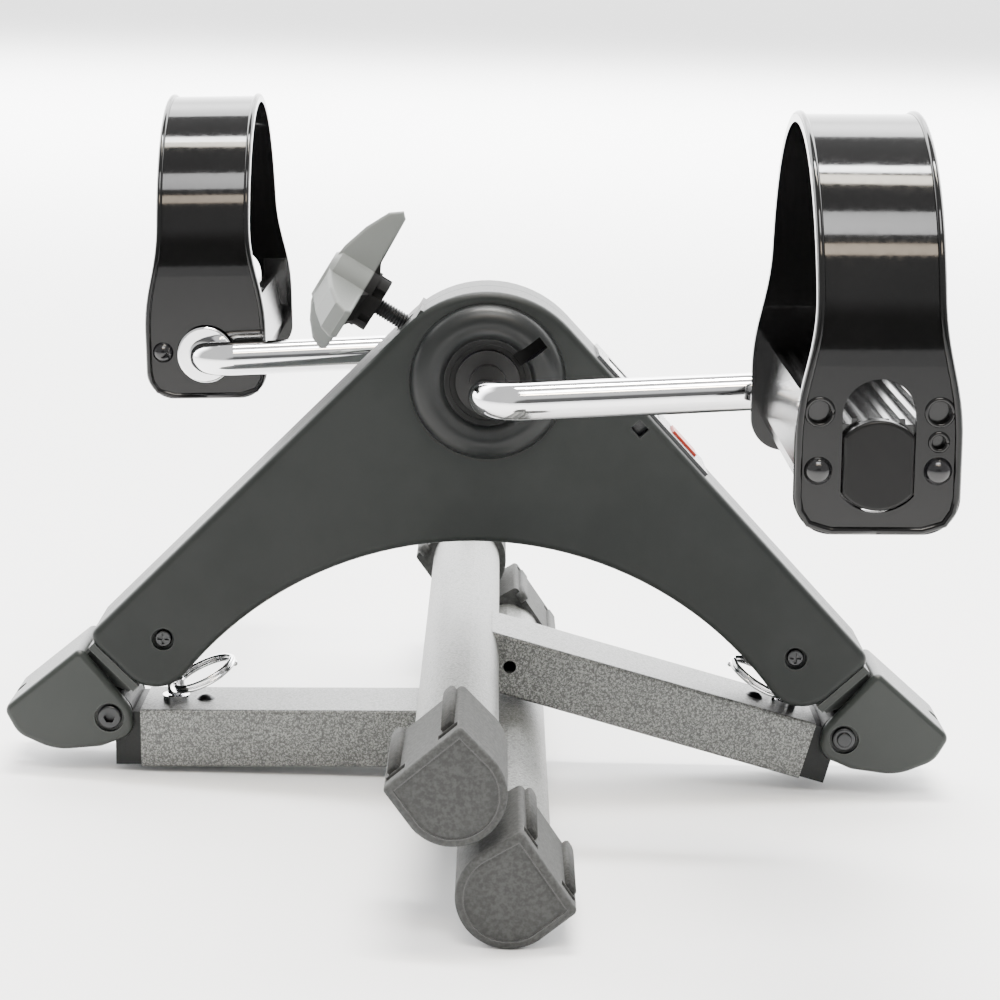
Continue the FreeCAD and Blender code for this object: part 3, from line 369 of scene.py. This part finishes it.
def make_materials():
    """One finish for each slot. Mouldings: dark, light, grain, depth, roughness, shine, edge (its colour
    a painted highlight), and for some the dark marks, painted shade among them.
    """
    mouldings = {
        "housing_plastic": ((9, 11, 10), (12, 14, 13), 0.4, 8, (0.4, 0.52), 0.22, (34, 38, 36), seam),
        "hub_plastic": ((8, 9, 9), (11, 12, 12), 0.3, 4, (0.3, 0.4), 0.25, (24, 26, 25), hub_shadow),
        "bracket_plastic": ((15, 18, 16), (19, 22, 20), 0.4, 8, (0.34, 0.48), 0.32, (60, 65, 61)),
        "bush_plastic": ((3, 3, 3), (5, 5, 5), 0.3, 4, (0.4, 0.5), 0.3, None),
        "plug_plastic": ((5, 6, 6), (8, 9, 9), 0.4, 8, (0.45, 0.6), 0.25, (20, 21, 20)),
        "pedal_plastic": ((5, 5, 5), (8, 8, 8), 0.3, 3, (0.14, 0.22), 0.5, (20, 20, 20)),
        "strap_plastic": ((3, 3, 3), (4, 4, 4), 2.0, 3, (0.06, 0.1), 0.33, None),
        "stud_plastic": ((6, 6, 7), (9, 9, 9), 0.3, 3, (0.12, 0.2), 0.5, None),
        "cap_plastic": ((4, 4, 4), (6, 6, 6), 0.4, 6, (0.3, 0.42), 0.2, (18, 18, 18)),
        # knob_plastic's pale grey and paler edges are a painted reflection and highlight on a plastic
        # that is itself dark; its black hub is painted shade
        "knob_plastic": ((112, 120, 114), (130, 138, 132), 0.4, 8, (0.36, 0.48), 0.22,
                         (185, 192, 185), knob_hub_shade),
        "display_plastic": ((9, 10, 12), (12, 13, 15), 0.3, 4, (0.2, 0.3), 0.4, (30, 32, 34)),
        "lcd": ((150, 180, 130), (170, 200, 150), 1.0, 1, (0.3, 0.4), 0.5, None),
        "board": ((10, 80, 30), (15, 110, 40), 0.8, 4, (0.35, 0.5), 0.5, None),
        "button": ((300, 18, 10), (360, 28, 14), 0.4, 4, (0.35, 0.45), 0.4, (460, 90, 60)),
        "brake_lining": ((20, 16, 12), (35, 28, 20), 0.6, 50, (0.8, 0.95), 0.2, None),
    }
    metals = {
        "screw_steel": ((45, 46, 47), (0.3, 0.42)),
        "drum_steel": ((400, 400, 420), (0.3, 0.4)),
        "magnet": ((500, 500, 520), (0.2, 0.3)),
        "cell": ((600, 600, 620), (0.2, 0.3)),
        "spring_steel": ((500, 500, 520), (0.2, 0.3)),
    }
    made = {name: moulding(name, *values) for name, values in mouldings.items()}
    made.update({name: plated(name, *values) for name, values in metals.items()})
    made["chrome"] = plated("chrome", (900, 900, 900), (0.04, 0.08), depth=4e-7, tint=(840, 840, 860))
    made["powder_coat"] = hammertone()
    made["foot_rubber"] = rubber()
    made["lens"] = lens_finish()
    return made


def finish_nodes(materials):
    """Every CAD node gets the finish of its material slot."""
    for part in frame["record"]["subparts"]:
        node = frame["nodes"][part["node"]]
        material = materials[part["material_slot"]]
        for slot in node.material_slots:
            slot.material = material
        if not node.material_slots:
            node.data.materials.append(material)


# ---- detailed pieces ---------------------------------------------------------------------
def piece(name, verts, faces, body, slot, stands_for=None):
    """A smooth mesh riding on body; it hides the CAD node that it stands for."""
    mesh = bpy.data.meshes.new(name)
    mesh.from_pydata([tuple(v) for v in verts], [], faces)
    shape = bmesh.new()
    shape.from_mesh(mesh)
    bmesh.ops.recalc_face_normals(shape, faces=shape.faces)
    shape.to_mesh(mesh)
    shape.free()
    mesh.polygons.foreach_set("use_smooth", [True] * len(mesh.polygons))
    mesh.materials.append(MATERIALS[slot])
    made = bpy.data.objects.new(name, mesh)
    bpy.context.scene.collection.objects.link(made)
    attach(made, body)
    if stands_for:
        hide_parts(stands_for)
    return made


def rings_joined(rings, sides):
    """Faces over equal rings of vertices in a row, with an end face on the first and the last."""
    faces = []
    for k in range(rings - 1):
        for j in range(sides):
            a, b = k * sides + j, k * sides + (j + 1) % sides
            faces.append((a, b, b + sides, a + sides))
    faces.append(tuple(reversed(range(sides))))
    faces.append(tuple(range((rings - 1) * sides, rings * sides)))
    return faces


def tube(points, radius, sides=12):
    """Vertices and faces of a closed-ended round tube along points."""
    points = [Vector(p) for p in points]
    verts = []
    side = (points[1] - points[0]).orthogonal().normalized()
    for k, point in enumerate(points):
        ahead = (points[min(k + 1, len(points) - 1)] - points[max(k - 1, 0)]).normalized()
        side = (side - ahead * side.dot(ahead)).normalized()
        other = ahead.cross(side)
        verts += [point + radius * (cos(tau * j / sides) * side + sin(tau * j / sides) * other)
                  for j in range(sides)]
    return verts, rings_joined(len(points), sides)


def merged(*meshes):
    verts, faces = [], []
    for more, ends in meshes:
        faces += [tuple(i + len(verts) for i in face) for face in ends]
        verts += more
    return verts, faces


def threaded_rod(start, stop, root, crest, pitch):
    """A screw along SCREW_AXIS from start to stop, both measured from the crank axis."""
    sides, per_turn = 20, 8
    across = Vector((0, 1, 0))
    up = SCREW_AXIS.cross(across)
    rows = int((stop - start) / pitch * per_turn)
    verts = []
    for k in range(rows + 1):
        along = start + (stop - start) * k / rows
        for j in range(sides):
            phase = (along / pitch - j / sides) % 1.0
            radius = root + (crest - root) * (1 - abs(2 * phase - 1))
            angle = tau * j / sides
            verts.append(CRANK + SCREW_AXIS * along + radius * (cos(angle) * across + sin(angle) * up))
    return verts, rings_joined(rows + 1, sides)


def split_ring(node, turns=2, wire=0.8 * MM):
    """A two-coil split ring in place of the CAD node's plain one."""
    points = np.array([v.co for v in frame["nodes"][node].data.vertices])
    centre = (points.min(0) + points.max(0)) / 2
    middle = Vector(centre.tolist())
    axes = np.linalg.svd(points - centre, full_matrices=False)[2]
    first, second, axis = (Vector(a.tolist()) for a in axes)
    radius = float(max(abs((points - centre) @ axes[0]))) - wire
    path = []
    steps = 48 * turns
    for k in range(steps + 1):
        turn = tau * turns * k / steps
        drift = (k / steps - 0.5) * turns * 1.7 * wire
        path.append(middle + radius * (cos(turn) * first + sin(turn) * second) + drift * axis)
    return tube(path, wire, 10)


def bezier(a, b, c, d, steps=10):
    """Points of a cubic curve after its start."""
    out = []
    for k in range(1, steps + 1):
        t = k / steps
        w = ((1 - t) ** 3, 3 * t * (1 - t) ** 2, 3 * t * t * (1 - t), t ** 3)
        out.append(tuple(sum(wi * p[i] for wi, p in zip(w, (a, b, c, d))) for i in (0, 1)))
    return out


class Pedal:
    """Where things lie on one pedal: x across, y outwards, z up from its middle, millimetres."""

    def __init__(self, side, tilt):
        self.side = side
        arm = Vector((-side * cos(CRANK_SLOPE), 0, -side * sin(CRANK_SLOPE)))
        self.axle = CRANK + arm * CRANK_ARM * MM
        self.turn = Matrix.Rotation(radians(-tilt), 3, "Y")

    def at(self, x, y, z):
        shift = self.turn @ (Vector((x, 0, z + PEDAL_LIFT)) * MM)
        return self.axle + shift + Vector((0, self.side * y * MM, 0))


def strap_edge(sign):
    """Half width and height up one wall of the strap, then its half width over the arch."""
    low, waist, top = STRAP_FOOT, STRAP_WAIST, STRAP_CROWN
    base, corner = STRAP_BASE, STRAP_CORNER_R
    wall = [(0.0, base), (low - corner, base)]
    wall += [(low - corner + corner * sin(radians(a)), base + corner - corner * cos(radians(a)))
             for a in (22, 45, 68, 90)]
    wall.append((low, 6.0))
    curve = bezier((low, 6.0), (low, 22.0), (waist, 28.0), (waist, 44.0))
    curve += bezier((waist, 44.0), (waist, 60.0), (top, 72.0), (top, 90.0))
    return [(sign * x, z) for x, z in wall], [(sign * x, z) for x, z in curve]


def width_at(curve, z):
    for (x0, z0), (x1, z1) in zip(curve, curve[1:]):
        if z <= z1:
            return x0 + (x1 - x0) * (z - z0) / (z1 - z0)
    return curve[-1][0]


def strap_rims(pedal):
    """Raised rims along the strap's edges and round its spare holes."""
    middle, reach = (STRAP_INNER + STRAP_OUTER) / 2, (STRAP_OUTER - STRAP_INNER) / 2
    meshes = []
    for sign in (-1, 1):
        wall, curve = strap_edge(sign)
        curve = [wall[-1]] + curve
        lift = [(x - sign * RIM_INSET if k > 1 else x, z + RIM_INSET if k < 3 else z)
                for k, (x, z) in enumerate(wall)]
        lift += [(width_at(curve, z) - sign * RIM_INSET, z) for z in (9.0, 13.0, 17.0, 21.0)]
        up = [pedal.at(x, STRAP_INNER, z) for x, z in lift]
        down = [pedal.at(x, STRAP_OUTER, z) for x, z in reversed(lift)]
        over = []
        for k in range(49):
            angle = pi * k / 48
            z = STRAP_SPRING + reach * sin(angle)
            half = width_at(curve, z) - sign * RIM_INSET
            over.append(pedal.at(half, middle - reach * cos(angle), z))
        meshes.append(tube(up + over + down, RIM_R * MM, 10))
    for x, z, radius in STRAP_HOLES:
        ring = [pedal.at(x + radius * cos(tau * k / 32), STRAP_OUTER, z + radius * sin(tau * k / 32))
                for k in range(33)]
        meshes.append(tube(ring, HOLE_RIM_R * MM, 8))
    return merged(*meshes)


def tread_ribs(mount):
    """Two raised ribs along a foot cap's tread."""
    at, out = Vector(mount["pos_m"]), Vector(mount["axis"]).normalized()
    aside = out.cross(Vector((0, 1, 0)))
    side = 1 if at.y > 0 else -1
    meshes = []
    # distance from the middle plane and half width, from the cap's end inwards
    outline = ((0.1588, 1.8 * MM), (0.1592, 2.0 * MM), (0.1285, 2.3 * MM), (0.1235, 2.1 * MM),
               (0.1215, 1.2 * MM))
    for lateral in (-RIB_OFFSET * MM, RIB_OFFSET * MM):
        loop = [*outline, *((y, -half) for y, half in reversed(outline))]
        verts = []
        for height, shrink in ((-2.0 * MM, 1.0), (1.0 * MM, 1.0), (1.4 * MM, 0.8)):
            for y, half in loop:
                foot = Vector((at.x, side * y, at.z))
                verts.append(foot + aside * (lateral + half * shrink) + out * height)
        meshes.append((verts, rings_joined(3, len(loop))))
    return merged(*meshes)


def make_details():
    thread = threaded_rod(start=20.6 * MM, stop=53.0 * MM, root=2.45 * MM, crest=3.0 * MM, pitch=1.0 * MM)
    piece("threaded_screw", *thread, "tension_knob", "screw_steel", "tension_screw")
    slots = {p["node"]: p["material_slot"] for p in frame["record"]["subparts"]}
    for side in ("left", "right"):
        node = side + "_pull_ring"
        piece(side + "_split_ring", *split_ring(node), side + "_ring", slots[node], node)
    for name, side, tilt in PEDALS:
        rims = strap_rims(Pedal(side, tilt))
        piece(name + "_strap_rims", *rims, name + "_pedal", "strap_plastic")
    for mount in frame["record"]["mounts"]:
        leg = mount["name"].split("_")[0] + "_leg"
        piece(mount["name"] + "_ribs", *tread_ribs(mount), leg, "foot_rubber")


make_camera()
make_studio()
make_floor(floor_finish())
MATERIALS = make_materials()
finish_nodes(MATERIALS)
make_details()
